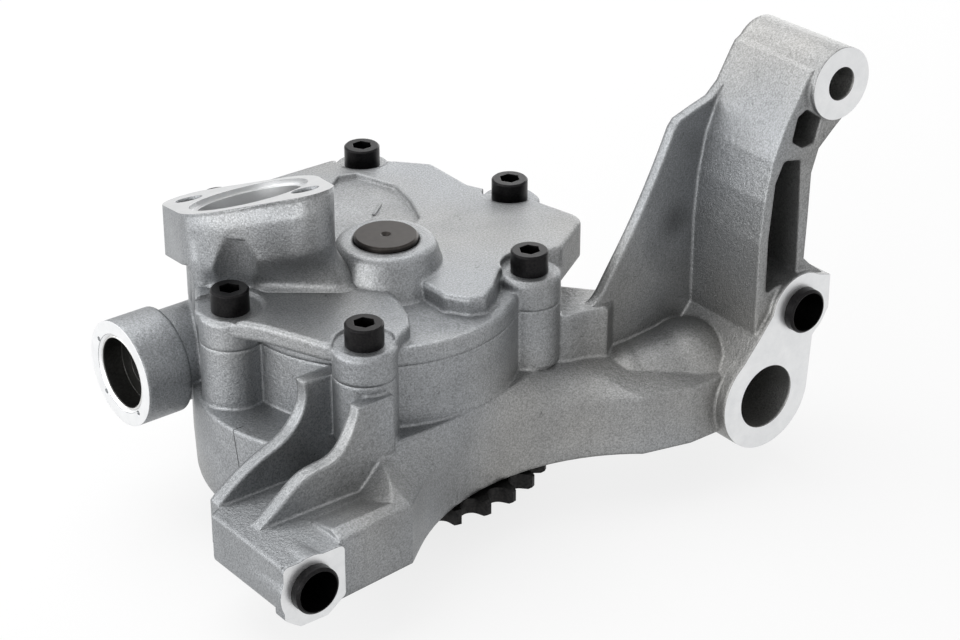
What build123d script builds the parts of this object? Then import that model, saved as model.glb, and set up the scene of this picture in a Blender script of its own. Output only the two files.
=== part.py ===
from build123d import *
from math import atan2, cos, degrees, hypot, pi, radians, sin, sqrt
import os

os.makedirs("parts", exist_ok=True)

# Engine oil pump, in millimetres. The origin is on the shaft axis, under the sprocket's washer.
# +Z runs up the shaft to the cover, -Y is the side that bolts to the engine block.

# Levels up the shaft
washer_thickness = 2.65
sprocket_thickness = 4.4
sprocket_top = washer_thickness + sprocket_thickness
chain_clearance_z = 8.3
pocket_floor_z = 24.0
joint_z = 50.0
shelf_z = 55.0
seat_z = 58.0
lobe_z = 59.0
plateau_z = 60.0
boss_top_z = 66.2
panel_depth = 1.3
shaft_end_z = 67.6

# Shaft, bushes and thrust washer
shaft_r = 8.5
shaft_running_gap = 0.04
bush_wall = 1.6
shaft_nose_r = 7.0
shaft_flat_offset = 5.5
shaft_boss_r = 12.8
shaft_boss_flare = 3.8
shaft_boss_round = 2.4
shaft_bore_gap = 0.3
cover_bush_length = 11.0
thrust_washer_thickness = 1.8
thrust_washer_r = 13.5
thrust_gap = 0.1
thrust_recess_z = sprocket_top + thrust_washer_thickness + thrust_gap

# Gerotor set
inner_teeth = 6
outer_teeth = inner_teeth + 1
outer_ring_r = 31.0
tooth_circle_r = outer_ring_r
tooth_r = tooth_circle_r * 21 / 62
eccentricity = tooth_circle_r * 7 / 62
port_inner_r = tooth_circle_r - tooth_r - 3.0
port_outer_r = tooth_circle_r - 4.5
mesh_gap = 0.06
ring_running_gap = 0.08
rotor_end_gap = 0.05
drive_pin_r = 2.2
drive_pin_length = 23.0
drive_pin_gap = 0.05

# Sprocket and its fixing
sprocket_teeth = 30
sprocket_pitch_r = 42.0
sprocket_tip_r = 43.7
roller_r = 2.9
sprocket_flank_angle = 25.0
tooth_bevel = 0.6
washer_r = 11.0
sprocket_bolt_r = 4.0
sprocket_bolt_length = 19.0
sprocket_bolt_clearance = 3.0
sprocket_bolt_flats = 13.0
sprocket_bolt_head = 5.5

# Housing walls round the rotors
casing_wall = 7.0
body_r = outer_ring_r + casing_wall
pad_r = 8.3
body_base_z = 32.5
back_floor_z = 22.0
left_top_z = 33.0
left_bottom_z = 5.0
left_x = -55.0
left_foot_round = 6.0
lug_floor_z = 24.2
lug_setback = 1.0
left_floor_under_z = 9.5
left_boss_r = 9.2
left_boss_bottom = 6.2
rib_thickness = 3.8
left_ribs = {
    -26.0: ((-71.0, 24.5), (-64.5, 29.4), (-57.5, 33.0), (-50.0, 36.4), (-45.8, 41.0), (-44.6, 50.0)),
    -41.2: ((-71.2, 23.2), (-62.8, 28.6), (-53.8, 34.2), (-45.6, 35.8), (-41.6, 40.4), (-38.8, 47.4)),
}
band_rim_z = 25.0
lobe_under_z = 54.4
chain_r = 48.0

# Cover screws, with the head centres in plan
screw_places = {
    "left": (-45.2, 5.4),
    "front": (-29.2, -30.6),
    "right_front": (28.3, -24.5),
    "right": (51.6, 13.0),
    "right_back": (32.5, 55.9),
    "back": (-16.9, 53.6),
}
dowelled_screws = ("front", "right_back")
screw_r = 3.0
screw_gap = 0.3
screw_head_r = 5.0
screw_head_height = 6.0
screw_socket_flats = 5.0
screw_socket_depth = 3.2
screw_grip = 14.0
tapped_extra = 3.0
seat_pocket_r = 7.7
left_pocket_r = 8.6
cover_dowel_r = 4.6
cover_dowel_wall = 1.0
cover_dowel_length = 9.0

# Suction flange on the cover
flange_tilt = 20.0
flange_centre = (-27.3, 22.6, 78.5)
flange_r = 19.0
flange_front_hole = (5.2, -19.7)
flange_back_hole = (-5.2, 22.5)
flange_front_ear = (3.0, -23.2, 7.4)
flange_back_ear = (-2.6, 22.3, 9.5)
neck_top = (-0.6, -3.2, 16.8)
neck_foot = (-26.1, 22.9, 16.2)
neck_foot_corner = (-17.0, -0.7, 4.5)
neck_foot_z = 58.0
flange_hole_r = 3.75
flange_hole_depth = 13.0
flange_thickness = 14.7
spanner_relief_z = 74.5
spanner_relief_foot_r = 10.8
spanner_relief_top_r = 7.3
suction_recess_r = 15.8
suction_recess_depth = 1.3
suction_throat_r = 13.8
suction_throat_depth = 9.0
suction_duct_r = 10.0

# Mounting face and its three bolt points, as X and Z on the plane of the face
mount_y = -59.0
arm_back_y = -28.0
left_point = (-66.2, 16.0)
right_point = (94.7, 39.4)
top_point = (104.3, 102.3)
outlet_point = (83.3, 16.2)
bolt_hole_r = 4.6
sleeve_r = 6.25
sleeve_wall = 0.8
sleeve_length = 12.0
sleeve_proud = 2.7
top_boss_r = 9.9
top_boss_taper = 0.5
side_boss_r = 10.3
outlet_ring_r = 15.2
outlet_r = 9.2
outlet_depth = 30.0
gallery_r = 7.0
gallery_wall = 4.5
gallery_bulge_r = 15.5
casting_wall = 3.0
arm_setback = 2.0
gusset_foot_z = 44.5

# Relief valve, lying along X
relief_y = outer_ring_r - 1.8
relief_z = 35.5
relief_face_x = -65.0
relief_boss_r = 14.4
relief_neck_r = 12.6
relief_shoulder_x = -52.0
relief_mouth_r = 10.2
relief_mouth_bevel = 0.7
relief_mouth_depth = 8.0
relief_bore_r = 8.0
relief_seat_wall = 0.77
relief_seat_x = -relief_seat_wall - eccentricity - sqrt((outer_ring_r + ring_running_gap) ** 2 - (relief_y - relief_bore_r) ** 2)
relief_running_gap = 0.03
relief_piston_length = 14.0
relief_piston_crown = 3.0
relief_piston_wall = 1.6
relief_travel = 8.0
relief_seat_thickness = 1.2
relief_spring_wire = 1.5
relief_spring_turns = 5
relief_feed_r = 2.0
relief_feed_place = (4.8, -2.0)
relief_feed_end_x = 12.0
relief_spill_r = 3.5
retainer_depth = 7.3
retainer_wall = 0.6
retainer_floor = 1.6
retainer_hole_r = 5.0
stake_r = 0.7
stake_depth = 0.9
stake_places = ((39.0, 41.6), (37.0, 26.8), (21.1, 27.4))


def disc(x, y, r, z0, z1):
    return Pos(x, y, z0) * Cylinder(r, z1 - z0, align=(Align.CENTER, Align.CENTER, Align.MIN))


def cone(x, y, r0, r1, z0, z1):
    return Pos(x, y, z0) * Cone(r0, r1, z1 - z0, align=(Align.CENTER, Align.CENTER, Align.MIN))


def rod_y(x, z, r, y0, y1):
    return Pos(x, y1, z) * Rot(90, 0, 0) * Cylinder(r, y1 - y0, align=(Align.CENTER, Align.CENTER, Align.MIN))


def rod_x(y, z, r, x0, x1):
    return Pos(x0, y, z) * Rot(0, 90, 0) * Cylinder(r, x1 - x0, align=(Align.CENTER, Align.CENTER, Align.MIN))


def rod_between(start, end, r):
    axis = Vector(*end) - Vector(*start)
    return extrude(Plane(origin=start, z_dir=axis) * Circle(r), axis.length)


def plate(points, z0, z1, corner=0, top_round=0, wide_points=(), wide_corner=0):
    face = make_face(Polyline(*points, close=True))
    if wide_points:
        face = fillet(corners_at(face, wide_points), wide_corner)
    if corner:
        face = fillet(corners_at(face, [point for point in points if point not in wide_points]), corner)
    solid = extrude(Plane.XY.offset(z0) * face, z1 - z0)
    if top_round:
        solid = fillet(solid.edges().group_by(Axis.Z)[-1], top_round)
    return solid


def corners_at(face, points):
    # the face's vertices that stand at these points
    return [v for v in face.vertices() if min(hypot(v.X - x, v.Y - y) for x, y in points) < 0.01]


def upright(points, y0, y1, corner=0):
    # a plate standing on edge, its outline given as X and Z
    face = make_face(Polyline(*points, close=True))
    if corner:
        face = fillet(face.vertices(), corner)
    return extrude(Plane(origin=(0, y1, 0), x_dir=(1, 0, 0), z_dir=(0, -1, 0)) * face, y1 - y0)


def pads(z0, z1, top_round=0):
    # the round bosses that carry the cover screws
    solids = [disc(x, y, pad_r, z0, z1) for x, y in screw_places.values()]
    if top_round:
        solids = [chamfer(solid.edges().group_by(Axis.Z)[-1], top_round) for solid in solids]
    return Part() + solids


# The pump's plan: a round rotor casing in front and a plate that carries the outlet side behind it
cover_corner = [(41.0, -22.3), (57.4, -12.2), (53.8, 5.0)]
cover_corner_r = 6.0
plan_corner_r = 1.5
housing_corner = [(40.5, -22.3), (53.4, -5.0), (53.8, 5.0)]
plan_back = [
    (49.5, 15.0), (45.8, 24.0), (46.0, 41.0), (39.5, 49.0), (25.0, 61.0), (-17.0, 61.6),
    (-25.0, 52.0), (-40.8, 33.0), (-50.0, 12.0), (-36.0, 0.0), (0.0, -20.0), (28.0, -32.0),
]


def casing_plan(corner, z0, z1, top_round=0, wide_points=()):
    solid = disc(-eccentricity, 0, body_r, z0, z1)
    if top_round:
        solid = fillet(solid.edges().group_by(Axis.Z)[-1], top_round)
    solid += plate(corner + plan_back, z0, z1, plan_corner_r, top_round, wide_points, cover_corner_r)
    return solid + pads(z0, z1)


def kidney(z0, z1, first_angle):
    # a curved oil port over the rotor chambers, between the shaft bush and the ring
    ring = disc(-eccentricity / 2, 0, port_outer_r, z0, z1) - disc(-eccentricity / 2, 0, port_inner_r, z0, z1)
    start, end = radians(first_angle), radians(first_angle + 130)
    reach = 3 * port_outer_r
    tip = (first_angle + 65) * pi / 180
    wedge = [(0, 0)] + [(reach * cos(a), reach * sin(a)) for a in (start, tip, end)]
    return ring & plate(wedge, z0, z1)


def band():
    # the bridge in front of the sprocket: an arched front, then a slope back up to the rotor casing
    low_right = Polyline((30, -15), (75, -22), (78, -55), (60, -55), (46, -51.5))
    low_front = ThreePointArc((46, -51.5), (8.5, -38.6), (-28, -51.3))
    front_y = mount_y + lug_setback
    low_left = Polyline((-28, -51.3), (-34, -56), (-57, front_y), (-57, -15), (30, -15))
    top_right = Polyline((30, -15), (72, -17), (75, -24), (60, -21), (34, -27))
    top_front = ThreePointArc((34, -27), (0, -38.2), (-31, -38))
    top_left = Polyline((-31, -38), (-36, -39), (-57, -39), (-57, -15), (30, -15))
    bottom = make_face(low_right + low_front + low_left)
    top = make_face(top_right + top_front + top_left)
    lower = extrude(Plane.XY.offset(chain_clearance_z) * bottom, band_rim_z - chain_clearance_z)
    slope = loft([Plane.XY.offset(band_rim_z) * bottom, Plane.XY.offset(body_base_z) * top], ruled=True)
    return lower + slope - lug_hollow()


def lug_hollow():
    # the open space above the left lug's floor, with a sloping side towards the band
    low = make_face(Polyline((-90, -45), (-42, -45), (-39, -41), (-37, -36), (-37, 0), (-90, 0), close=True))
    high = make_face(Polyline((-90, -81), (-27, -81), (-31, -41), (-33, -36), (-33, 0), (-90, 0), close=True))
    return loft([Plane.XY.offset(lug_floor_z) * low, Plane.XY.offset(body_base_z + 0.5) * high], ruled=True)


def left_shoulder():
    # the lower left of the casing, clear of the chain underneath
    back, front = (left_x + 4.5, 17), (left_x + 4, -23)
    side = ThreePointArc(back, (left_x - 1, -3), front)
    rest = Polyline(front, (-20, -30), (-20, 34), (-42, 32), back)
    solid = extrude(Plane.XY.offset(left_bottom_z) * make_face(side + rest), left_top_z - left_bottom_z)
    foot = solid.edges().group_by(Axis.Z)[0].filter_by(GeomType.CIRCLE)
    return fillet(foot, left_foot_round)


def left_lug():
    # the lug at the left mounting point: a floor, a left wall, a boss and two ribs up to the casing
    x, z = left_point
    outer_x = x - 8.2
    front_y = mount_y + lug_setback
    floor = plate(
        [(outer_x, front_y), (-50, front_y), (-36, -50), (-30, -15), (left_x + 3, -15), (outer_x, arm_back_y)],
        left_floor_under_z, lug_floor_z)
    floor = fillet(floor.edges().group_by(Axis.Z)[0].sort_by(Axis.X)[0], 3.0)
    front_pad = upright(
        [(outer_x, 9.5), (-70, left_boss_bottom), (-62, left_boss_bottom), (-56.5, 10), (-56.5, lug_floor_z),
         (outer_x, lug_floor_z)], mount_y, mount_y + 4, 1.5)
    boss = Pos(x, arm_back_y, z - 0.4) * Rot(90, 0, 0) * Cone(
        left_boss_r - 1.6, left_boss_r, arm_back_y - mount_y, align=(Align.CENTER, Align.CENTER, Align.MIN))
    solid = floor + front_pad + boss
    for y, points in left_ribs.items():
        solid += left_rib(points, y)
    return solid


def left_rib(points, y):
    first, last = points[0], points[-1]
    rest = Polyline(last, (-28, last[1]), (-28, 12), (first[0], 12), first)
    face = make_face(Spline(*points) + rest)
    return extrude(Plane(origin=(0, y + rib_thickness, 0), x_dir=(1, 0, 0), z_dir=(0, -1, 0)) * face, rib_thickness)


def outlet_block():
    # the machined pear-shaped face round the outlet and the right mounting point
    x, z = outlet_point
    px, pz = right_point
    depth = (mount_y, arm_back_y)
    solid = rod_y(x, z, outlet_ring_r, *depth)
    solid += upright(
        [(68.6, 20.0), (70.6, 24.2), (74.7, 28.9), (79.8, 34.8), (86.5, 43.1), (90, 45.9), (95, 49.5),
         (105, 46.5), (105, 36.5), (99.5, 29.7), (98.5, 16.0), (80, 8)], *depth)
    solid += rod_y(px, pz, side_boss_r, *depth)
    start, end = gallery_ends()
    return solid + rod_between(start, end, gallery_r + gallery_wall)


def gallery_ends():
    # the oil way from the pressure port under the rotors to the back of the outlet bore
    x, z = outlet_point
    return (14, -18, 18), (x, mount_y + outlet_depth - gallery_r, z)


def gallery_bulge():
    # the swelling of the casting over the oil way, in the corner between band, gusset and arm
    start, end = Vector(54, -35, 20), Vector(72, -39, 18.5)
    small_r = gallery_bulge_r - 4.5
    cone_part = Plane(origin=start, z_dir=end - start) * Cone(
        small_r, gallery_bulge_r, (end - start).length, align=(Align.CENTER, Align.CENTER, Align.MIN))
    return cone_part + Pos(*start) * Sphere(small_r) + Pos(*end) * Sphere(gallery_bulge_r)


def arm():
    # the upright arm: a channel open to the front, with a boss at its top
    x, z = top_point
    face_y = mount_y + arm_setback
    left_side = [(80, 30), (80, 62), (81, 74), (83.2, 85), (86.8, 93.5), (91.2, 101), (93.6, 105), (95, 107.1), (99.4, 109.4)]
    right_side = [(110, 108), (113.5, 99), (112.7, 95.4), (104.4, 88.9), (99.4, 84.6), (97.2, 78.1),
                  (96.9, 65.1), (96.4, 53.2), (98.8, 50.8), (104.4, 46.4), (104.9, 38), (99, 30)]
    solid = upright(left_side + right_side, face_y, arm_back_y)
    window_back = arm_back_y - casting_wall
    upper = [(94.2, 97.2), (100.0, 92.9), (98.0, 86.6), (93.5, 86.2), (89.3, 89.0), (91.0, 95.7)]
    lower = [(87.0, 84.4), (93.4, 83.0), (94.0, 66.0), (94.2, 49.2), (82.8, 46.2), (82.7, 62.4), (84.2, 78.5)]
    solid -= upright(upper, face_y, window_back, 1.4)
    solid -= upright(lower, face_y, window_back, 1.6)
    return solid + Pos(x, arm_back_y, z) * Rot(90, 0, 0) * Cone(
        top_boss_r - top_boss_taper, top_boss_r, arm_back_y - mount_y, align=(Align.CENTER, Align.CENTER, Align.MIN))


def gusset():
    # the thin plate that ties the arm to the casing, with its hollow upper edge
    rise = Spline((43.0, 44.2), (46.6, 45.6), (49.6, 49.4), (56.4, 59.6), (69.6, 83.6), (71.8, 88.4))
    top = Polyline((71.8, 88.4), (73.5, 90.3), (79.8, 92.3), (85.1, 93.8), (90.9, 98.9), (95.1, 107))
    rest = Polyline((95.1, 107), (95, 30), (43.0, 26), (43.0, 44.2))
    plane = Plane(origin=(0, arm_back_y, 0), x_dir=(1, 0, 0), z_dir=(0, -1, 0))
    solid = extrude(plane * make_face(rise + top + rest), casting_wall)
    ledge = plate([(33, -30.5), (37, -31.6), (42, -32.2), (47.5, -34), (52, -31), (60, -31), (60, -28),
                   (52, -23), (45.5, -15), (33, -15)], body_base_z - 8, gusset_foot_z, 0, 1.2)
    return solid + ledge


def relief_housing():
    x1 = relief_shoulder_x
    solid = rod_x(relief_y, relief_z, relief_boss_r, relief_face_x, x1)
    return solid + rod_x(relief_y, relief_z, relief_neck_r, x1, -20)


def cut_relief_bore(solid):
    mouth_end = relief_face_x + relief_mouth_depth
    solid -= rod_x(relief_y, relief_z, relief_mouth_r, relief_face_x, mouth_end)
    solid -= Pos(relief_face_x, relief_y, relief_z) * Rot(0, 90, 0) * Cone(
        relief_mouth_r + relief_mouth_bevel, relief_mouth_r, relief_mouth_bevel,
        align=(Align.CENTER, Align.CENTER, Align.MIN))
    for y, z in stake_places:
        solid -= rod_x(y, z, stake_r, relief_face_x, relief_face_x + stake_depth)
    solid -= rod_x(relief_y, relief_z, relief_bore_r, mouth_end, relief_seat_x)
    across, up = relief_feed_place
    solid -= rod_x(relief_y + across, relief_z + up, relief_feed_r, relief_seat_x, relief_feed_end_x)
    spill_x = relief_seat_x - relief_travel + relief_spill_r
    return solid - disc(spill_x, relief_y, relief_spill_r, relief_z, joint_z)


def cut_mounts(solid):
    for x, z in (left_point, right_point, top_point):
        solid -= rod_y(x, z, bolt_hole_r, mount_y, arm_back_y)
    for x, z in (left_point, right_point):
        solid -= rod_y(x, z, sleeve_r, mount_y, mount_y + sleeve_length - sleeve_proud)
    x, z = outlet_point
    solid -= rod_y(x, z, outlet_r, mount_y, mount_y + outlet_depth)
    return solid - rod_between(*gallery_ends(), gallery_r)


def housing():
    lower_depth = disc(-eccentricity, 0, body_r, chain_clearance_z, body_base_z)
    back_floor = plate(housing_corner + plan_back, back_floor_z, body_base_z)
    solid = casing_plan(housing_corner, body_base_z, joint_z) + lower_depth + back_floor
    solid += left_shoulder()
    solid += band()
    solid += left_lug()
    solid += outlet_block()
    solid += gallery_bulge()
    solid += arm()
    solid += gusset()
    solid += relief_housing()
    solid -= plate([(-90, -80), (120, -80), (120, mount_y), (-90, mount_y)], -10, 130)
    solid -= disc(-eccentricity, 0, outer_ring_r + ring_running_gap, pocket_floor_z, joint_z)
    solid -= kidney(pocket_floor_z - 8, pocket_floor_z, -155)
    solid -= disc(0, 0, chain_r, 0, chain_clearance_z)
    solid -= disc(0, 0, thrust_washer_r + 0.6, chain_clearance_z, thrust_recess_z)
    solid -= disc(0, 0, shaft_r + bush_wall, thrust_recess_z, pocket_floor_z)
    for name, (x, y) in screw_places.items():
        solid -= disc(x, y, screw_r, seat_z - screw_length() - tapped_extra, joint_z)
        if name in dowelled_screws:
            solid -= disc(x, y, cover_dowel_r, joint_z - cover_dowel_length / 2, joint_z)
    solid = cut_relief_bore(solid)
    return cut_mounts(solid)


def screw_length():
    return seat_z - joint_z + screw_grip


def flange_plane():
    return Plane(origin=flange_centre, x_dir=(1, 0, 0),
                 z_dir=(0, sin(radians(flange_tilt)), cos(radians(flange_tilt))))


def flange_outline():
    circles = [(0, 0, flange_r), flange_front_ear, flange_back_ear]
    return hull_round(circles)


def hull_round(circles):
    # the outline drawn tight round several circles given as X, Y and radius
    edges = []
    for x, y, r in circles:
        edges += (Pos(x, y) * Circle(r)).edges()
    return make_hull(edges)


def suction_neck():
    # the sloping inlet flange and the hollow neck that carries it above the cover
    solid = extrude(flange_plane() * flange_outline(), flange_thickness, dir=(0, 0, -1))
    top = flange_plane() * hull_round([neck_top, flange_front_ear])
    foot = Plane.XY.offset(neck_foot_z) * hull_round([neck_foot, neck_foot_corner])
    solid += loft([foot, top], ruled=True)
    solid += extrude(foot, joint_z - neck_foot_z)
    x, y = screw_places["left"]
    solid -= disc(x, y, spanner_relief_foot_r, joint_z, plateau_z)
    solid -= cone(x, y, spanner_relief_foot_r, spanner_relief_top_r, plateau_z, spanner_relief_z)
    x, y = screw_places["back"]
    return solid - disc(x, y, seat_pocket_r, joint_z, boss_top_z + 30)


def cut_suction(solid):
    plane = flange_plane()
    solid -= extrude(plane * Circle(suction_recess_r), -suction_recess_depth)
    solid -= extrude(plane * Circle(suction_throat_r), -suction_throat_depth)
    x, y, z = flange_centre
    solid -= disc(x, y, suction_duct_r, joint_z, z)
    for hole in (flange_front_hole, flange_back_hole):
        solid -= extrude(plane * Pos(*hole) * Circle(flange_hole_r), -flange_hole_depth)
    return solid


def seat_pocket(x, y, r):
    # the flat sunk round a screw head, open towards the cover's edge
    away = degrees(atan2(y, x))
    slot = Pos(r, 0) * Rectangle(2 * r, 2 * r)
    face = Pos(x, y) * Rot(0, 0, away) * (Circle(r) + slot)
    return extrude(Plane.XY.offset(seat_z) * face, plateau_z - seat_z + 1)


def cover():
    solid = casing_plan(cover_corner, joint_z, shelf_z, 1.2, cover_corner[1:2])
    lobe = [(-52.8, 6.0), (-49, -2.9), (-45, -9), (-38.3, -26), (-29, -38.8), (-19.7, -33.2),
            (-15.5, -31.1), (-12.4, -26.5), (-9.2, -18.7), (-8, -10), (0, 20), (-40, 30), (-53, 10)]
    solid += plate(lobe, lobe_under_z, lobe_z, 1.6, 1.2)
    top = cover_corner + [
        (49.5, 15), (45.6, 24), (46, 41), (39.3, 48.8), (25, 60.6), (-17, 61.2), (-25, 51), (-40.8, 33),
        (-36, 10), (-0.2, -10), (0, -25.1), (3.7, -30.6), (7.4, -32.3), (13.6, -28.6), (19.8, -22.8),
        (26.7, -20)]
    solid += plate(top, joint_z, plateau_z, 2.2, 1.2, cover_corner[1:2], cover_corner_r)
    solid += pads(joint_z, seat_z, 1.0)
    solid -= plate([(-16, 47), (13.2, 45), (20, 50), (25, 48.4), (29.2, 35.8), (26.7, 25.5), (22.1, 14.8),
                    (0, 5), (-16, 20)], plateau_z - panel_depth, plateau_z)
    boss = cone(0, 0, shaft_boss_r + shaft_boss_flare, shaft_boss_r, shelf_z, boss_top_z)
    solid += fillet(boss.edges().group_by(Axis.Z)[-1], shaft_boss_round)
    for name, (x, y) in screw_places.items():
        solid -= seat_pocket(x, y, left_pocket_r if name == "left" else seat_pocket_r)
    solid += suction_neck()
    solid -= kidney(joint_z, joint_z + 5.5, 20)
    solid -= rod_between((flange_centre[0], flange_centre[1], joint_z + 4.0), (-12, 15, joint_z + 3.0), 3.0)
    solid -= disc(0, 0, shaft_r + bush_wall, joint_z, joint_z + cover_bush_length)
    solid -= disc(0, 0, shaft_r + shaft_bore_gap, joint_z, boss_top_z)
    for name, (x, y) in screw_places.items():
        solid -= disc(x, y, screw_r + screw_gap, joint_z, seat_z)
        if name in dowelled_screws:
            solid -= disc(x, y, cover_dowel_r, joint_z, joint_z + cover_dowel_length / 2)
    return cut_suction(solid)


def hexagon(flats):
    return RegularPolygon(flats / 2, 6, major_radius=False)


def cover_screws():
    screws = []
    for x, y in screw_places.values():
        head = disc(x, y, screw_head_r, seat_z, seat_z + screw_head_height)
        head = chamfer(head.edges().group_by(Axis.Z)[-1], 0.4)
        socket = Pos(x, y, seat_z + screw_head_height) * extrude(hexagon(screw_socket_flats), -screw_socket_depth)
        shank = disc(x, y, screw_r, seat_z - screw_length(), seat_z)
        screws.append(head - socket + shank)
    return Compound(children=screws)


def cover_dowels():
    rings = []
    low, high = joint_z - cover_dowel_length / 2, joint_z + cover_dowel_length / 2
    for name in dowelled_screws:
        x, y = screw_places[name]
        rings.append(disc(x, y, cover_dowel_r, low, high) - disc(x, y, cover_dowel_r - cover_dowel_wall, low, high))
    return Compound(children=rings)


def drive_shaft():
    solid = disc(0, 0, shaft_r, sprocket_top, shaft_end_z)
    solid = chamfer(solid.edges().group_by(Axis.Z)[-1], 0.5)
    solid += double_d(shaft_nose_r, shaft_flat_offset, washer_thickness + 0.3, sprocket_top)
    solid -= disc(0, 0, sprocket_bolt_r, washer_thickness, sprocket_bolt_length + sprocket_bolt_clearance)
    solid -= rod_x(0, rotor_pin_z(), drive_pin_r, -shaft_r, shaft_r)
    return solid - cone(0, 0, 0.1, 1.4, shaft_end_z - 1.2, shaft_end_z)


def double_d(r, flat, z0, z1):
    return disc(0, 0, r, z0, z1) & plate([(-r, -flat), (r, -flat), (r, flat), (-r, flat)], z0, z1)


def rotor_pin_z():
    return pocket_floor_z + rotor_end_gap + drive_pin_r + 0.6


def rotor_drive_pin():
    half = drive_pin_length / 2
    solid = rod_x(0, rotor_pin_z(), drive_pin_r, -half, half)
    return chamfer(solid.edges().filter_by(GeomType.CIRCLE), 0.4)


def inner_rotor():
    # the toothed rotor's outline is the envelope of the ring's round teeth as the ring rolls round it
    points = []
    steps = 240
    for i in range(steps):
        a = 2 * pi * i / steps
        n = outer_teeth
        x = tooth_circle_r * cos(a) - eccentricity * cos(n * a)
        y = tooth_circle_r * sin(a) - eccentricity * sin(n * a)
        dx = -tooth_circle_r * sin(a) + n * eccentricity * sin(n * a)
        dy = tooth_circle_r * cos(a) - n * eccentricity * cos(n * a)
        scale = (tooth_r + mesh_gap) / hypot(dx, dy)
        points.append((x - dy * scale, y + dx * scale))
    face = make_face(Spline(*points, periodic=True))
    low, high = rotor_levels()
    solid = extrude(Plane.XY.offset(low) * face, high - low)
    solid -= disc(0, 0, shaft_r, low, high)
    slot_r = drive_pin_r + drive_pin_gap
    reach = drive_pin_length / 2 + 0.5
    pin_z = rotor_pin_z()
    solid -= rod_x(0, pin_z, slot_r, -reach, reach)
    return solid - plate([(-reach, -slot_r), (reach, -slot_r), (reach, slot_r), (-reach, slot_r)], low, pin_z)


def rotor_levels():
    return pocket_floor_z + rotor_end_gap, joint_z - rotor_end_gap


def outer_rotor():
    low, high = rotor_levels()
    root_r = tooth_circle_r - tooth_r + 2 * eccentricity + 3 * mesh_gap
    hollow = Pos(-eccentricity, 0) * Circle(root_r)
    for i in range(outer_teeth):
        a = pi + 2 * pi * (i + 0.5) / outer_teeth
        tooth = Pos(-eccentricity + tooth_circle_r * cos(a), tooth_circle_r * sin(a)) * Circle(tooth_r)
        hollow -= tooth
    face = Pos(-eccentricity, 0) * Circle(outer_ring_r) - hollow
    return extrude(Plane.XY.offset(low) * face, high - low)


def sprocket():
    low, high = washer_thickness, sprocket_top
    spread = radians(sprocket_flank_angle)
    seat_x, seat_y = -roller_r * sin(spread), roller_r * cos(spread)
    reach = 2 * roller_r
    out_x, out_y = seat_x + reach * cos(spread), seat_y + reach * sin(spread)
    gullet = make_face(Polyline((seat_x, seat_y), (out_x, out_y), (out_x, -out_y), (seat_x, -seat_y), close=True))
    gullet += Circle(roller_r)
    face = Circle(sprocket_tip_r)
    for i in range(sprocket_teeth):
        face -= Rot(0, 0, 360 * i / sprocket_teeth) * Pos(sprocket_pitch_r, 0) * gullet
    solid = extrude(Plane.XY.offset(low) * face, sprocket_thickness)
    inner = sprocket_tip_r - 1.6 * tooth_bevel
    rim = disc(0, 0, sprocket_tip_r + 1, low, low + tooth_bevel)
    solid -= rim - cone(0, 0, inner, sprocket_tip_r, low, low + tooth_bevel)
    rim = disc(0, 0, sprocket_tip_r + 1, high - tooth_bevel, high)
    solid -= rim - cone(0, 0, sprocket_tip_r, inner, high - tooth_bevel, high)
    return solid - double_d(shaft_nose_r, shaft_flat_offset, low, high)


def ring_washer(r, hole_r, z0, z1):
    return disc(0, 0, r, z0, z1) - disc(0, 0, hole_r, z0, z1)


def sprocket_bolt():
    low = -sprocket_bolt_head
    head = Pos(0, 0, low) * extrude(hexagon(sprocket_bolt_flats), sprocket_bolt_head)
    head &= cone(0, 0, sprocket_bolt_flats / 2 - 0.2, sprocket_bolt_flats * 1.2, low, 0)
    return head + disc(0, 0, sprocket_bolt_r, 0, sprocket_bolt_length)


def relief_piston():
    x1 = relief_seat_x - 0.5
    x0 = x1 - relief_piston_length
    r = relief_bore_r - relief_running_gap
    solid = rod_x(relief_y, relief_z, r, x0, x1)
    solid = chamfer(solid.edges().group_by(Axis.X)[-1], 1.0)
    return solid - rod_x(relief_y, relief_z, r - relief_piston_wall, x0, x1 - relief_piston_crown)


def relief_spring():
    x0 = relief_face_x + relief_mouth_depth + relief_seat_thickness
    x1 = relief_seat_x - 0.5 - relief_piston_crown
    r = relief_bore_r - relief_piston_wall - relief_spring_wire
    length = x1 - x0 - relief_spring_wire
    path = Helix(length / relief_spring_turns, length, r - 0.3)
    start = path @ 0
    wire = sweep(Plane(origin=start, z_dir=path % 0) * Circle(relief_spring_wire / 2), path, is_frenet=True)
    return Pos(x0 + relief_spring_wire / 2, relief_y, relief_z) * Rot(0, 90, 0) * wire


def relief_spring_seat():
    x0 = relief_face_x + relief_mouth_depth
    r = relief_bore_r - 0.1
    solid = rod_x(relief_y, relief_z, r, x0, x0 + relief_seat_thickness)
    return solid - rod_x(relief_y, relief_z, 3.0, x0, x0 + relief_seat_thickness)


def relief_retainer():
    # a thin pressed cup, open to the mouth, that holds the spring seat
    x1 = relief_face_x + relief_mouth_depth
    x0 = x1 - retainer_depth
    solid = rod_x(relief_y, relief_z, relief_mouth_r, x0, x1)
    solid -= rod_x(relief_y, relief_z, relief_mouth_r - retainer_wall, x0, x1 - retainer_floor)
    solid -= rod_x(relief_y, relief_z, retainer_hole_r, x0, x1)
    return chamfer(solid.edges().group_by(Axis.X)[0], retainer_wall / 3)


def dowel_sleeve(point):
    x, z = point
    y0 = mount_y - sleeve_proud
    y1 = y0 + sleeve_length
    solid = rod_y(x, z, sleeve_r, y0, y1)
    solid = chamfer(solid.edges().group_by(Axis.Y)[0], 0.5)
    return solid - rod_y(x, z, sleeve_r - sleeve_wall, y0, y1)


def export(solid, name):
    export_step(solid, "parts/" + name + ".step")


bush_r = shaft_r + bush_wall
bush_hole_r = shaft_r + shaft_running_gap

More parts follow.
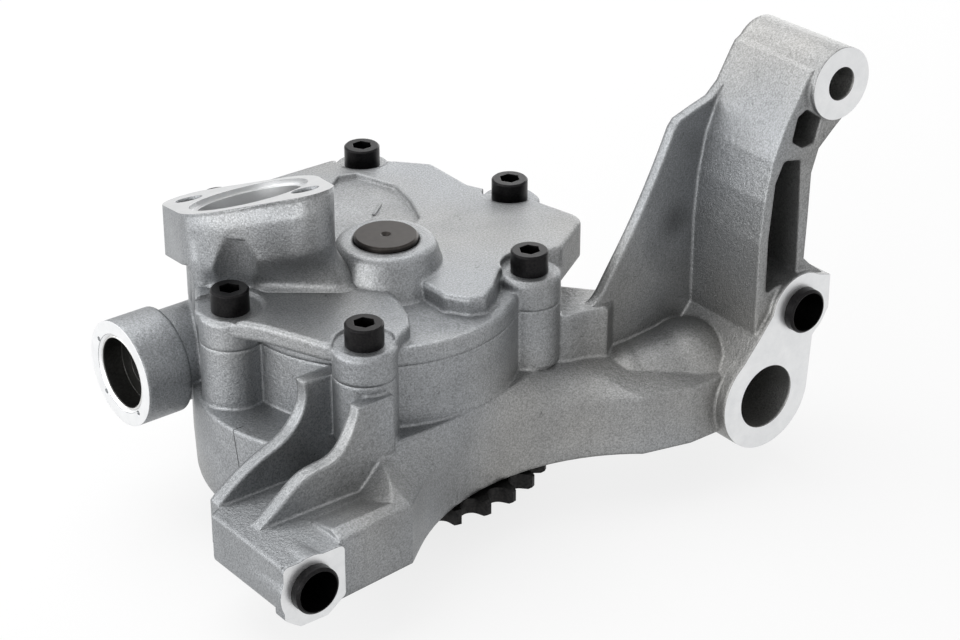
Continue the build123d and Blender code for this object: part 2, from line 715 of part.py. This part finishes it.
export(housing(), "housing")
export(cover(), "cover")
export(cover_screws(), "cover_screws")
export(cover_dowels(), "cover_dowels")
export(drive_shaft(), "drive_shaft")
export(ring_washer(bush_r, bush_hole_r, thrust_recess_z, pocket_floor_z), "housing_bush")
export(ring_washer(bush_r, bush_hole_r, joint_z, joint_z + cover_bush_length), "cover_bush")
export(inner_rotor(), "inner_rotor")
export(outer_rotor(), "outer_rotor")
export(rotor_drive_pin(), "rotor_drive_pin")
export(sprocket(), "sprocket")
export(ring_washer(thrust_washer_r, shaft_r, sprocket_top, sprocket_top + thrust_washer_thickness), "thrust_washer")
export(ring_washer(washer_r, sprocket_bolt_r + 0.25, 0, washer_thickness), "sprocket_washer")
export(sprocket_bolt(), "sprocket_bolt")
export(relief_piston(), "relief_piston")
export(relief_spring(), "relief_spring")
export(relief_spring_seat(), "relief_spring_seat")
export(relief_retainer(), "relief_retainer")
export(dowel_sleeve(left_point), "dowel_sleeve_left")
export(dowel_sleeve(right_point), "dowel_sleeve_right")
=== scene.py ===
import bpy
from math import atan2, cos, pi, radians, sin
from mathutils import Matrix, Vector
from mathutils.geometry import convex_hull_2d


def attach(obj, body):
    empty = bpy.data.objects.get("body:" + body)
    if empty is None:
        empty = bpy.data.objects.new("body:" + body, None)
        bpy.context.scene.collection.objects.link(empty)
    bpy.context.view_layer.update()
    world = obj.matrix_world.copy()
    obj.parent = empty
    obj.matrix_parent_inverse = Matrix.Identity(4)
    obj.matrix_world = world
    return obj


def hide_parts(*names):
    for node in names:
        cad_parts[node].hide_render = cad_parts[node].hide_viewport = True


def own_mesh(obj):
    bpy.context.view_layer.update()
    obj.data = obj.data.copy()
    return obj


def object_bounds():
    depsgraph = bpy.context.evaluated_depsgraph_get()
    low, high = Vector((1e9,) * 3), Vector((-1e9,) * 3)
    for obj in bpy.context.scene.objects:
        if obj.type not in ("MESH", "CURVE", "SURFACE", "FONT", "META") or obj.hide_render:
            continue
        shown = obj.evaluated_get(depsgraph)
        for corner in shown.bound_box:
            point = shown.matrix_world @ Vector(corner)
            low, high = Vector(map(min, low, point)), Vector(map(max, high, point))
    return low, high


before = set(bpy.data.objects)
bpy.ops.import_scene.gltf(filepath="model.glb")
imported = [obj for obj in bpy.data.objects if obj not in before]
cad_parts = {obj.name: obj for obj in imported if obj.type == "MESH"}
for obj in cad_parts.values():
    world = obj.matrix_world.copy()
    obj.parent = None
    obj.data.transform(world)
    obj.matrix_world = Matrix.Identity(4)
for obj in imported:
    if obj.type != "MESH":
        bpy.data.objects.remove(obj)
cad_low, cad_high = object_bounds()


# The housing is one die casting in aluminium, shot-blasted, with its joints milled bright.
# It bolts to the engine at its front face and carries every other piece of the pump.
# The milled places are found by their own planes, so the finish needs no change to the solid.
def add(tree, kind, settings=None, **values):
    made = tree.nodes.new("ShaderNode" + kind)
    for name, value in (settings or {}).items():
        setattr(made, name, value)
    for name, value in values.items():
        made.inputs[name.replace("_", " ")].default_value = value
    return made


def join(tree, source, output, target, socket):
    tree.links.new(source.outputs[output], target.inputs[socket])
    return target


def maths(tree, operation, first, second):
    made = add(tree, "Math", {"operation": operation})
    for place, term in enumerate((first, second)):
        if isinstance(term, (int, float)):
            made.inputs[place].default_value = term
        else:
            tree.links.new(term.outputs[0], made.inputs[place])
    return made


def along(tree, coordinates, output, direction):
    # how far a point, or its normal, reaches along a direction
    dot = add(tree, "VectorMath", {"operation": "DOT_PRODUCT"})
    tree.links.new(coordinates.outputs[output], dot.inputs[0])
    dot.inputs[1].default_value = direction
    made = add(tree, "Math", {"operation": "ADD"})
    tree.links.new(dot.outputs["Value"], made.inputs[0])
    made.inputs[1].default_value = 0.0
    return made


def between(tree, value, low, high):
    above = maths(tree, "GREATER_THAN", value, low)
    return maths(tree, "MULTIPLY", above, maths(tree, "LESS_THAN", value, high))


milled_facing = 0.995
milled_band = 0.15


def milled_faces(tree, coordinates, faces):
    # 1 on the flat faces given as (outward direction, level in mm), otherwise 0
    total = None
    for direction, level in faces:
        unit = Vector(direction).normalized()
        facing = maths(tree, "GREATER_THAN", along(tree, coordinates, "Normal", unit), milled_facing)
        place = along(tree, coordinates, "Object", unit)
        at_level = between(tree, place, (level - milled_band) / 1000, (level + milled_band) / 1000)
        on_face = maths(tree, "MULTIPLY", facing, at_level)
        total = on_face if total is None else maths(tree, "MAXIMUM", total, on_face)
    return total


bore_wall_band = 0.08
bore_mouth_gap = 0.0001


def milled_bores(tree, coordinates, bores):
    # 1 on the walls of round bores given as
    # (centre of the mouth, outward direction, radius, depth), in mm
    total = None
    for mouth, direction, radius, depth in bores:
        unit = Vector(direction).normalized()
        level = unit.dot(Vector(mouth)) / 1000
        offset = add(tree, "VectorMath", {"operation": "SUBTRACT"})
        tree.links.new(coordinates.outputs["Object"], offset.inputs[0])
        offset.inputs[1].default_value = Vector(mouth) / 1000
        across = add(tree, "VectorMath", {"operation": "CROSS_PRODUCT"})
        tree.links.new(offset.outputs[0], across.inputs[0])
        across.inputs[1].default_value = unit
        distance = add(tree, "VectorMath", {"operation": "LENGTH"})
        tree.links.new(across.outputs[0], distance.inputs[0])
        near = add(tree, "Math", {"operation": "LESS_THAN"})
        tree.links.new(distance.outputs["Value"], near.inputs[0])
        near.inputs[1].default_value = (radius + bore_wall_band) / 1000
        place = along(tree, coordinates, "Object", unit)
        inside = between(tree, place, level - depth / 1000, level - bore_mouth_gap)
        on_wall = maths(tree, "MULTIPLY", near, inside)
        total = on_wall if total is None else maths(tree, "MAXIMUM", total, on_wall)
    return total


def painted_shade_patches(tree, coordinates, spots):
    # soft dark patches, mostly painted shade with some blast staining, given as (centre, radius, depth of
    # tone), in mm; 1 is the metal left as it is
    total = None
    for centre, radius, tone in spots:
        distance = add(tree, "VectorMath", {"operation": "DISTANCE"})
        tree.links.new(coordinates.outputs["Object"], distance.inputs[0])
        distance.inputs[1].default_value = Vector(centre) / 1000
        fade = add(tree, "MapRange", {"interpolation_type": "SMOOTHSTEP"},
                   From_Max=radius / 1000, To_Min=1 - tone, To_Max=1.0)
        join(tree, distance, "Value", fade, "Value")
        total = fade if total is None else maths(tree, "MULTIPLY", total, fade)
    return total


def tones(tree, source, output, low, high, dark, light):
    # a two-colour ramp between two levels of a texture
    ramp = add(tree, "ValToRGB")
    ramp.color_ramp.elements[0].position = low
    ramp.color_ramp.elements[0].color = (*dark, 1)
    ramp.color_ramp.elements[1].position = high
    ramp.color_ramp.elements[1].color = (*light, 1)
    return join(tree, source, output, ramp, "Fac")


def multiplied(tree, first, second, output="Color"):
    mix = add(tree, "Mix", {"data_type": "RGBA", "blend_type": "MULTIPLY"})
    mix.inputs["Factor"].default_value = 1.0
    tree.links.new(first.outputs["Color"] if "Color" in first.outputs else first.outputs[2], mix.inputs[6])
    tree.links.new(second.outputs[output], mix.inputs[7])
    return mix


score_half_width = 0.00016
score_depth = 0.75


def scored(tree, coordinates, scores):
    # thin dark scores, each where a plane cuts the surface, given as
    # (across the score, level, along it, low, high) in mm; 1 is clean metal
    total = maths(tree, "ADD", 0.0, 0.0)
    for across, level, lengthwise, low, high in scores:
        place = along(tree, coordinates, "Object", Vector(across).normalized())
        offset = maths(tree, "SUBTRACT", place, level / 1000)
        thin = maths(tree, "LESS_THAN", maths(tree, "ABSOLUTE", offset, 0.0), score_half_width)
        place = along(tree, coordinates, "Object", Vector(lengthwise).normalized())
        mark = maths(tree, "MULTIPLY", thin, between(tree, place, low / 1000, high / 1000))
        total = maths(tree, "MAXIMUM", total, mark)
    return maths(tree, "SUBTRACT", 1.0, maths(tree, "MULTIPLY", total, score_depth))


cast_dark, cast_light = (0.235, 0.24, 0.245), (0.335, 0.34, 0.346)
milled_dark, milled_light = (0.80, 0.81, 0.82), (0.90, 0.905, 0.91)
cast_roughness, milled_roughness = 0.47, 0.38
cast_edge_r, milled_edge_r = 0.0015, 0.00015
cast_bump, milled_bump = 0.75, 0.03


def cast_aluminium(name, faces, bores, spots, scores=(), milled_painted_shade=1.0):
    # the blasted casting and its milled places in one finish
    material = bpy.data.materials.new(name)
    material.use_nodes = True
    tree = material.node_tree
    shader = tree.nodes["Principled BSDF"]
    place = add(tree, "TexCoord")
    milled = maths(tree, "MAXIMUM", milled_faces(tree, place, faces), milled_bores(tree, place, bores))

    # blasted grain, with the slow stains that a casting picks up from its die, and patches of painted
    # shade
    grain = add(tree, "TexNoise", Scale=2100.0, Detail=3.0, Roughness=0.7)
    join(tree, place, "Object", grain, "Vector")
    pebble = add(tree, "TexNoise", Scale=700.0, Detail=2.0, Roughness=0.5)
    join(tree, place, "Object", pebble, "Vector")
    stain = add(tree, "TexNoise", Scale=30.0, Detail=5.0, Roughness=0.6, Distortion=0.7)
    join(tree, place, "Object", stain, "Vector")
    warmth = add(tree, "TexNoise", Scale=17.0, Detail=2.0, Roughness=0.5)
    join(tree, place, "Object", warmth, "Vector")
    cast = tones(tree, stain, "Fac", 0.30, 0.72, cast_dark, cast_light)
    speckle = tones(tree, grain, "Fac", 0.34, 0.64, (0.66, 0.66, 0.66), (1.20, 1.20, 1.20))
    cast = multiplied(tree, cast, speckle)
    tint = tones(tree, warmth, "Fac", 0.42, 0.70, (0.985, 1.0, 1.015), (1.0, 0.975, 0.93))
    cast = multiplied(tree, cast, tint)
    nick = add(tree, "TexNoise", Scale=330.0, Detail=2.0, Roughness=0.8, Distortion=1.5)
    join(tree, place, "Object", nick, "Vector")
    nicked = tones(tree, nick, "Fac", 0.69, 0.73, (1.0, 1.0, 1.0), (0.66, 0.66, 0.66))
    cast = multiplied(tree, cast, nicked)
    # placed dark patches: painted shade, with some blast staining
    cast = multiplied(tree, cast, painted_shade_patches(tree, place, spots), 0)
    cast = multiplied(tree, cast, scored(tree, place, scores), 0)

    # fine cutter lines on the milled places, darkened by a painted shade factor for each casting
    lines = add(tree, "TexNoise", Scale=260.0, Detail=3.0, Roughness=0.7)
    join(tree, place, "Object", lines, "Vector")
    bright = tones(tree, lines, "Fac", 0.25, 0.75,
                   [shade * milled_painted_shade for shade in milled_dark],
                   [shade * milled_painted_shade for shade in milled_light])
    colour = add(tree, "Mix", {"data_type": "RGBA"})
    tree.links.new(milled.outputs[0], colour.inputs["Factor"])
    tree.links.new(cast.outputs[2], colour.inputs[6])
    tree.links.new(bright.outputs["Color"], colour.inputs[7])
    tree.links.new(colour.outputs[2], shader.inputs["Base Color"])

    rough = add(tree, "MapRange", To_Min=cast_roughness, To_Max=milled_roughness)
    tree.links.new(milled.outputs[0], rough.inputs["Value"])
    join(tree, rough, "Result", shader, "Roughness")
    shader.inputs["Metallic"].default_value = 0.92

    # edges and corners of a casting are round, and milled ones are nearly sharp
    edge = add(tree, "Bevel", {"samples": 8})
    radius = add(tree, "MapRange", To_Min=cast_edge_r, To_Max=milled_edge_r)
    tree.links.new(milled.outputs[0], radius.inputs["Value"])
    join(tree, radius, "Result", edge, "Radius")
    height = maths(tree, "ADD", grain, maths(tree, "MULTIPLY", pebble, 1.2))
    depth = add(tree, "MapRange", To_Min=cast_bump, To_Max=milled_bump)
    tree.links.new(milled.outputs[0], depth.inputs["Value"])
    bump = add(tree, "Bump", Distance=0.00014)
    join(tree, depth, "Result", bump, "Strength")
    join(tree, height, 0, bump, "Height")
    join(tree, edge, "Normal", bump, "Normal")
    join(tree, bump, "Normal", shader, "Normal")
    return material


def dress(node, material):
    # gives a CAD node its finish in place of its plain colour
    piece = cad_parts[node]
    piece.data.materials.clear()
    piece.data.materials.append(material)
    for face in piece.data.polygons:
        face.material_index = 0


mount_face_y = -59.0
relief_mouth = (-65.0, 29.2, 35.5)
relief_mouth_r = 10.9
relief_mouth_depth = 8.0
# painted shade on the gusset towards its corner with the arm, with some blast staining
gusset_painted_shade = [((73, -31, 61.6), 8.0, 0.42), ((65, -31, 55), 9.0, 0.14), ((78, -31, 81), 8.0, 0.16)]
shoulder_score = ((0.0, 1.0, -0.146), -14.27, (-1.0, 0.0, 0.12), 56.0, 62.0)
housing_metal = cast_aluminium(
    "housing_cast_aluminium",
    [((0, -1, 0), -mount_face_y), ((-1, 0, 0), -relief_mouth[0])],
    [(relief_mouth, (-1, 0, 0), relief_mouth_r, relief_mouth_depth)],
    gusset_painted_shade,
    [shoulder_score],
    milled_painted_shade=0.94)
dress("housing", housing_metal)


# The drive shaft is ground steel whose end shows, dark and warm, in the cover's boss.
# It turns in two bronze bushes, pressed into the housing and the cover.
steel_edge_r = 0.00025


def steel(name, dark, light, roughness, metallic, grain_scale, bump_depth):
    # a steel finish with fine grain between two greys
    material = bpy.data.materials.new(name)
    material.use_nodes = True
    tree = material.node_tree
    shader = tree.nodes["Principled BSDF"]
    place = add(tree, "TexCoord")
    grain = add(tree, "TexNoise", Scale=grain_scale, Detail=4.0, Roughness=0.6)
    join(tree, place, "Object", grain, "Vector")
    join(tree, tones(tree, grain, "Fac", 0.30, 0.70, dark, light), "Color", shader, "Base Color")
    wear = add(tree, "MapRange", To_Min=roughness - 0.06, To_Max=roughness + 0.08)
    join(tree, grain, "Fac", wear, "Value")
    join(tree, wear, "Result", shader, "Roughness")
    shader.inputs["Metallic"].default_value = metallic
    edge = add(tree, "Bevel", {"samples": 4}, Radius=steel_edge_r)
    bump = add(tree, "Bump", Distance=bump_depth, Strength=0.5)
    join(tree, grain, "Fac", bump, "Height")
    join(tree, edge, "Normal", bump, "Normal")
    join(tree, bump, "Normal", shader, "Normal")
    return material


shaft_steel = steel(
    "ground_shaft_steel", dark=(0.034, 0.031, 0.029), light=(0.050, 0.045, 0.042),
    roughness=0.36, metallic=1.0, grain_scale=700.0, bump_depth=0.00002)
bush_bronze = steel(
    "bush_bronze", dark=(0.42, 0.26, 0.11), light=(0.55, 0.36, 0.17),
    roughness=0.38, metallic=0.9, grain_scale=900.0, bump_depth=0.00002)
dress("drive_shaft", shaft_steel)
dress("housing_bush", bush_bronze)
dress("cover_bush", bush_bronze)


# The two rotors are sintered steel, and a pin of like grey locks the inner one to the shaft.
# The ring turns in its pocket as the inner rotor drives it.
sintered_steel = steel(
    "sintered_rotor_steel", dark=(0.17, 0.17, 0.175), light=(0.27, 0.27, 0.28),
    roughness=0.45, metallic=0.8, grain_scale=2200.0, bump_depth=0.00005)
for name in ("inner_rotor", "outer_rotor", "rotor_drive_pin"):
    dress(name, sintered_steel)


# The cover is a second die casting of the same alloy, screwed down on the rotor casing.
# Its suction flange and the mouth of the suction way are milled, and the rest is as cast.
flange_lean = radians(20)
flange_up = Vector((0.0, sin(flange_lean), cos(flange_lean)))
flange_centre = Vector((-27.3, 22.6, 78.5))
suction_recess_r = 15.8
suction_throat_depth = 9.0
# painted shade on the neck's front and beside it on the lobe
lobe_painted_shade = [((-33, -1.5, 72), 13.5, 0.55), ((-6, -9, 62), 7.0, 0.35), ((20, 25, 60), 14.0, 0.08)]
# The cover's milled flange is painted darker than the housing's milled faces: painted shade against the
# overhead panel's light on its upward face.
cover_metal = cast_aluminium(
    "cover_cast_aluminium",
    [(flange_up, flange_up.dot(flange_centre))],
    [(flange_centre, flange_up, suction_recess_r, suction_throat_depth)],
    lobe_painted_shade,
    milled_painted_shade=0.66)
dress("cover", cover_metal)
tick_start = Vector((14.6, 25.9, 58.7)) / 1000
tick_end = Vector((19.8, 29.9, 58.7)) / 1000
tick_width = 0.0009
bpy.ops.mesh.primitive_cube_add(size=1.0, location=(tick_start + tick_end) / 2)
tick = bpy.context.object
tick.name = "cover_cast_tick"
tick.scale = ((tick_end - tick_start).length, tick_width, tick_width)
tick.rotation_euler = (0, 0, (tick_end - tick_start).to_2d().angle_signed(Vector((1, 0))))
tick.data.materials.append(cover_metal)
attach(tick, "pump_body")


# The hollow suction neck is cast in one with the cover and carries the flange above it.
# Its walls drop flush from the flange to the lobe and are hollowed beside the left screw.
def reach(centre, angle, circles):
    # how far a ray goes inside the outline drawn tight round (x, y, radius) circles
    half_turn_steps, parallel, hair = 36, 1e-9, 1e-6
    rim = [Vector((x + r * cos(a), y + r * sin(a))) for x, y, r in circles
           for a in (i * pi / half_turn_steps for i in range(2 * half_turn_steps))]
    hull = [rim[i] for i in convex_hull_2d(rim)]
    ray = Vector((cos(angle), sin(angle)))
    best = 0.0
    for p, q in zip(hull, hull[1:] + hull[:1]):
        side = q - p
        turn = ray.x * side.y - ray.y * side.x
        if abs(turn) > parallel:
            away = p - centre
            along_ray = (away.x * side.y - away.y * side.x) / turn
            on_side = (away.x * ray.y - away.y * ray.x) / turn
            if -hair <= on_side <= 1 + hair:
                best = max(best, along_ray)
    return best


def eased(value):
    # a smooth step from 0 to 1
    value = min(max(value, 0.0), 1.0)
    return value * value * (3 - 2 * value)


def hollowed(centre, angle, radius, hollow_centre, hollow_r):
    # the same reach, stopped short where a round hollow cuts in from outside
    away = hollow_centre - centre
    ray = Vector((cos(angle), sin(angle)))
    middle = away.dot(ray)
    gap = away.length_squared - middle * middle
    if middle <= 0 or gap >= hollow_r * hollow_r:
        return radius
    return min(radius, middle - (hollow_r * hollow_r - gap) ** 0.5)


neck_centre = Vector((flange_centre.x, flange_centre.y))
lean = sin(flange_lean) / cos(flange_lean)
flange_circles = [(0, 0, 19.0), (3.0, -23.2, 7.4)]
flange_depth = 14.7
foot_circles = [(-26.1, 22.9, 16.2), (-17.0, -0.7, 4.5), (-43.2, 20.6, 3.1)]
foot_fillet = 2.4
lobe_top_z = 59.0
neck_base_z = 51.0
neck_skin = 0.06
neck_back_r = 17.0
# the front wall eases into the round back by the sine of its angle, and so does the foot's flare
front_edge, front_fade = 0.02, 0.22
flare_edge, flare_fade = 0.25, 0.3
# levels: one sunk in the lobe, close ones over the foot's fillet, then even ones up to the flange
sunk_z, foot_start, foot_step, foot_rows, wall_rows = 57.0, 0.4, 0.3, 10, 34
rim_drop, taper_drop, taper_foot, shortest_taper = 0.3, 0.4, 1.0, 2.0
# the hollow beside the left screw narrows upwards
left_screw = Vector((-45.2, 5.4))
hollow_r_low, hollow_narrowing, hollow_low_z, hollow_rise = 10.72, 4.7, 60.0, 17.0
# the inner side stays in the flange's metal, then follows the duct
lip_wall, lip_top, lip_foot = 0.5, 0.4, 5.0
inner_wall, inner_foot = 0.6, 13.3
duct_r, duct_top = 10.05, 13.5
neck_rays = 240
rows = []
for number in range(neck_rays):
    angle = number * 2 * pi / neck_rays
    ray = Vector((cos(angle), sin(angle)))
    # the flange is tilted, so its outline is shorter along Y when seen from above
    tilted = atan2(ray.y / cos(flange_lean), ray.x)
    reached = reach(Vector((0, 0)), tilted, flange_circles)
    flange_r = Vector((cos(tilted), sin(tilted) * cos(flange_lean))).length * reached + neck_skin
    front = 1 - eased((sin(angle) - front_edge) / front_fade)
    top_r = neck_back_r + (flange_r - neck_back_r) * front
    foot_r = neck_back_r + (reach(neck_centre, angle, foot_circles) - neck_back_r) * front
    flare = foot_fillet * eased((-sin(angle) - flare_edge) / flare_fade)
    rim = neck_centre + ray * top_r
    top_z = flange_centre.z - lean * (rim.y - flange_centre.y) - rim_drop
    under_z = top_z + rim_drop - flange_depth - taper_drop
    heights = [neck_base_z, sunk_z]
    heights += [lobe_top_z - foot_start + foot_step * i for i in range(foot_rows)]
    heights += [heights[-1] + (top_z - heights[-1]) * (i + 1) / wall_rows for i in range(wall_rows)]
    row = []
    for z in heights:
        taper = max(under_z - lobe_top_z - taper_foot, shortest_taper)
        down = eased((under_z - z) / taper)
        radius = top_r + (foot_r - top_r) * down
        rise = min(max((lobe_top_z + foot_fillet - z) / foot_fillet, 0.0), 1.0)
        radius += flare * (1 - (1 - rise * rise) ** 0.5)
        hollow_r = hollow_r_low - hollow_narrowing * max(z - hollow_low_z, 0.0) / hollow_rise
        radius = hollowed(neck_centre, angle, radius, left_screw, hollow_r)
        row.append((*(neck_centre + ray * radius), z))
    narrow = min((Vector(point[:2]) - neck_centre).length for point in row)
    inner_side = [(top_r - lip_wall, lip_top), (top_r - lip_wall, lip_foot),
                  (narrow - inner_wall, inner_foot), (duct_r, duct_top)]
    for radius, depth in inner_side:
        place = neck_centre + ray * radius
        row.append((*place, flange_centre.z - lean * (place.y - flange_centre.y) - depth))
    row.append((*(neck_centre + ray * duct_r), neck_base_z))
    rows.append(row)
levels = len(rows[0])
points = [Vector(point) / 1000 for row in rows for point in row]
faces = []
for number in range(neck_rays):
    here, there = number * levels, (number + 1) % neck_rays * levels
    faces += [(here + i, there + i, there + (i + 1) % levels, here + (i + 1) % levels)
              for i in range(levels)]
wall = bpy.data.meshes.new("suction_neck")
wall.from_pydata(points, [], faces)
wall.polygons.foreach_set("use_smooth", [True] * len(faces))
neck = bpy.data.objects.new("suction_neck", wall)
bpy.context.collection.objects.link(neck)
neck.data.materials.append(cover_metal)
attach(neck, "pump_body")


# Six black socket screws hold the cover, with dowel rings round two of them.
# They are alloy steel with a black oxide skin, and their heads stand free on flat seats.
black_oxide = steel(
    "black_oxide_steel", dark=(0.011, 0.011, 0.012), light=(0.022, 0.021, 0.021),
    roughness=0.38, metallic=1.0, grain_scale=1800.0, bump_depth=0.00003)
dress("cover_screws", black_oxide)
dress("cover_dowels", black_oxide)


# The chain sprocket is sintered and blackened, on two flats of the shaft's nose.
# A washer and a hexagon bolt clamp it, and a thin thrust washer runs above it.
sprocket_black = steel(
    "blackened_sprocket", dark=(0.012, 0.012, 0.013), light=(0.034, 0.033, 0.032),
    roughness=0.48, metallic=1.0, grain_scale=1300.0, bump_depth=0.00006)
bolt_zinc = steel(
    "zinc_plated_bolt", dark=(0.40, 0.40, 0.39), light=(0.55, 0.55, 0.54),
    roughness=0.34, metallic=0.85, grain_scale=900.0, bump_depth=0.00002)
dress("sprocket", sprocket_black)
dress("thrust_washer", bush_bronze)
dress("sprocket_washer", bolt_zinc)
dress("sprocket_bolt", bolt_zinc)


# The relief valve is a hardened piston on a coil spring, closed by a pressed-in plug.
# The plug is staked into the bright mouth of the bore.
valve_steel = steel(
    "ground_valve_steel", dark=(0.35, 0.35, 0.36), light=(0.50, 0.50, 0.51),
    roughness=0.28, metallic=0.9, grain_scale=1200.0, bump_depth=0.00002)
dress("relief_piston", valve_steel)
dress("relief_spring_seat", valve_steel)
# The plug's drawn steel is painted near black: painted shade for the inside of its cup.
cup_painted_shade_steel = steel(
    "drawn_retainer_painted_shade", dark=(0.055, 0.055, 0.052), light=(0.10, 0.10, 0.096),
    roughness=0.34, metallic=1.0, grain_scale=1500.0, bump_depth=0.00003)
dress("relief_retainer", cup_painted_shade_steel)
# A thin torus of bright steel at the cup's lip is a painted highlight; it is no part of the plug.
painted_highlight_steel = steel(
    "lip_highlight_paint", dark=(0.55, 0.55, 0.54), light=(0.75, 0.75, 0.74),
    roughness=0.3, metallic=1.0, grain_scale=900.0, bump_depth=0.00002)
relief_axis_y, relief_axis_z = 0.0292, 0.0355
retainer_lip_x = -0.0643
retainer_lip_r = 0.0099
retainer_lip_edge_r = 0.0003
bpy.ops.mesh.primitive_torus_add(
    location=(retainer_lip_x, relief_axis_y, relief_axis_z), rotation=(0, pi / 2, 0),
    major_segments=64, minor_segments=8, major_radius=retainer_lip_r, minor_radius=retainer_lip_edge_r)
lip_ring_highlight = bpy.context.object
lip_ring_highlight.name = "lip_ring_highlight"
lip_ring_highlight.data.materials.append(painted_highlight_steel)
bpy.ops.object.shade_smooth()
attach(lip_ring_highlight, "pump_body")


# The relief spring is a plain coil of bright steel wire between its seat and the piston.
# It is drawn here in place of the CAD's coil.
coil_turns = 5
coil_r = 0.0046
wire_r = 0.00075
coil_seat_x = -0.0558
coil_free_x = -0.0306
coil_steps = 200
wire_sides = 12
coil_length = coil_free_x - coil_seat_x - 2 * wire_r
coil_pitch = coil_length / (2 * pi * coil_turns)
points = []
for step in range(coil_steps + 1):
    turn = 2 * pi * coil_turns * step / coil_steps
    spoke = Vector((0.0, cos(turn), sin(turn)))
    rise = Vector((coil_pitch, -coil_r * sin(turn), coil_r * cos(turn))).normalized()
    along_axis = coil_seat_x + wire_r + coil_length * step / coil_steps
    middle = Vector((along_axis, relief_axis_y, relief_axis_z)) + spoke * coil_r
    side = rise.cross(spoke)
    points += [middle + (spoke * cos(a) + side * sin(a)) * wire_r
               for a in (2 * pi * i / wire_sides for i in range(wire_sides))]
faces = [(a + i, a + (i + 1) % wire_sides, a + wire_sides + (i + 1) % wire_sides, a + wire_sides + i)
         for a in range(0, coil_steps * wire_sides, wire_sides) for i in range(wire_sides)]
faces += [tuple(reversed(range(wire_sides))),
          tuple(coil_steps * wire_sides + i for i in range(wire_sides))]
wire = bpy.data.meshes.new("relief_coil")
wire.from_pydata(points, [], faces)
wire.polygons.foreach_set("use_smooth", [True] * len(faces))
coil = bpy.data.objects.new("relief_coil", wire)
bpy.context.collection.objects.link(coil)
coil.data.materials.append(valve_steel)
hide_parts("relief_spring")
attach(coil, "pump_body")
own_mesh(coil)


# Two black spring-steel sleeves stand a little proud of the mounting face.
# They centre the pump on the engine block round its lower bolts.
dress("dowel_sleeve_left", black_oxide)
dress("dowel_sleeve_right", black_oxide)


# The pump lies on a white painted table, which the camera and reflections see nearly white.
# The table keeps the soft shadow under the casting.
def background_rays(tree, rays):
    # 1 where the camera, a reflection or clear glass looks at the background
    total = maths(tree, "MAXIMUM", 0.0, 0.0)
    tree.links.new(rays.outputs["Is Camera Ray"], total.inputs[0])
    tree.links.new(rays.outputs["Is Glossy Ray"], total.inputs[1])
    seen = maths(tree, "MAXIMUM", total, 0.0)
    tree.links.new(rays.outputs["Is Transmission Ray"], seen.inputs[1])
    return seen


table_whiteness = 0.8
table_size = 6.0
table_gap = 0.0002
bpy.ops.mesh.primitive_plane_add(size=table_size, location=(0.02, 0.0, cad_low.z - table_gap))
table = bpy.context.object
table.name = "studio_table"
table_paint = bpy.data.materials.new("studio_table_white")
table_paint.use_nodes = True
tree = table_paint.node_tree
paint = tree.nodes["Principled BSDF"]
paint.inputs["Base Color"].default_value = (0.86, 0.86, 0.86, 1)
paint.inputs["Roughness"].default_value = 0.85
paint.inputs["Specular IOR Level"].default_value = 0.1
white = add(tree, "Emission", Strength=1.0)
blend = add(tree, "MixShader")
rays = add(tree, "LightPath")
shown = maths(tree, "MULTIPLY", background_rays(tree, rays), table_whiteness)
join(tree, shown, 0, blend, "Fac")
tree.links.new(paint.outputs[0], blend.inputs[1])
tree.links.new(white.outputs[0], blend.inputs[2])
tree.links.new(blend.outputs[0], tree.nodes["Material Output"].inputs["Surface"])
table.data.materials.append(table_paint)


# Soft studio light: a panel overhead, long low ones on the left and one behind on the right.
# The sky is white only where the camera or a reflection sees it.
def panel(name, place, aim, size, watts):
    # a rectangular lamp that faces a point
    light = bpy.data.lights.new(name, "AREA")
    light.shape = "RECTANGLE"
    light.size, light.size_y = size
    light.energy = watts
    holder = bpy.data.objects.new(name, light)
    holder.location = place
    holder.rotation_mode = "QUATERNION"
    holder.rotation_quaternion = (Vector(aim) - Vector(place)).to_track_quat("-Z", "Y")
    bpy.context.collection.objects.link(holder)


pump_middle = (0.02, 0.0, 0.05)
panel("overhead_panel", (0.0, 0.35, 0.85), pump_middle, size=(0.9, 0.7), watts=5.4)
panel("left_back_panel", (-0.85, 0.45, 0.28), pump_middle, size=(1.2, 0.5), watts=6.0)
panel("left_front_panel", (-0.95, -0.30, 0.22), pump_middle, size=(0.7, 0.4), watts=4.2)
panel("right_back_panel", (0.85, 0.5, 0.30), pump_middle, size=(0.8, 0.5), watts=2.8)

sky = bpy.data.worlds.new("studio_sky")
sky.use_nodes = True
tree = sky.node_tree
light_sky = tree.nodes["Background"]
light_sky.inputs["Color"].default_value = (1, 1, 1, 1)
light_sky.inputs["Strength"].default_value = 0.4
seen_sky = add(tree, "Background", Color=(1, 1, 1, 1), Strength=1.0)
rays = add(tree, "LightPath")
blend = add(tree, "MixShader")
join(tree, background_rays(tree, rays), 0, blend, "Fac")
tree.links.new(light_sky.outputs[0], blend.inputs[1])
tree.links.new(seen_sky.outputs[0], blend.inputs[2])
tree.links.new(blend.outputs[0], tree.nodes["World Output"].inputs["Surface"])
bpy.context.scene.world = sky
bpy.context.scene.view_settings.view_transform = "Standard"


# The camera stands in front on the left, above the cover, as in the photograph.
# Its place, aim and long lens are those of the one camera fitted to the photograph.
lens = bpy.data.cameras.new("photo_camera")
lens.lens = 99.72
lens.sensor_width = 36.0
lens.clip_start, lens.clip_end = 0.05, 20.0
camera = bpy.data.objects.new("photo_camera", lens)
camera.location = (-0.3635, -0.5042, 0.3731)
camera.rotation_mode = "QUATERNION"
camera.rotation_quaternion = Vector((0.54393, 0.69503, -0.47017)).to_track_quat("-Z", "Y")
bpy.context.collection.objects.link(camera)
bpy.context.scene.camera = camera
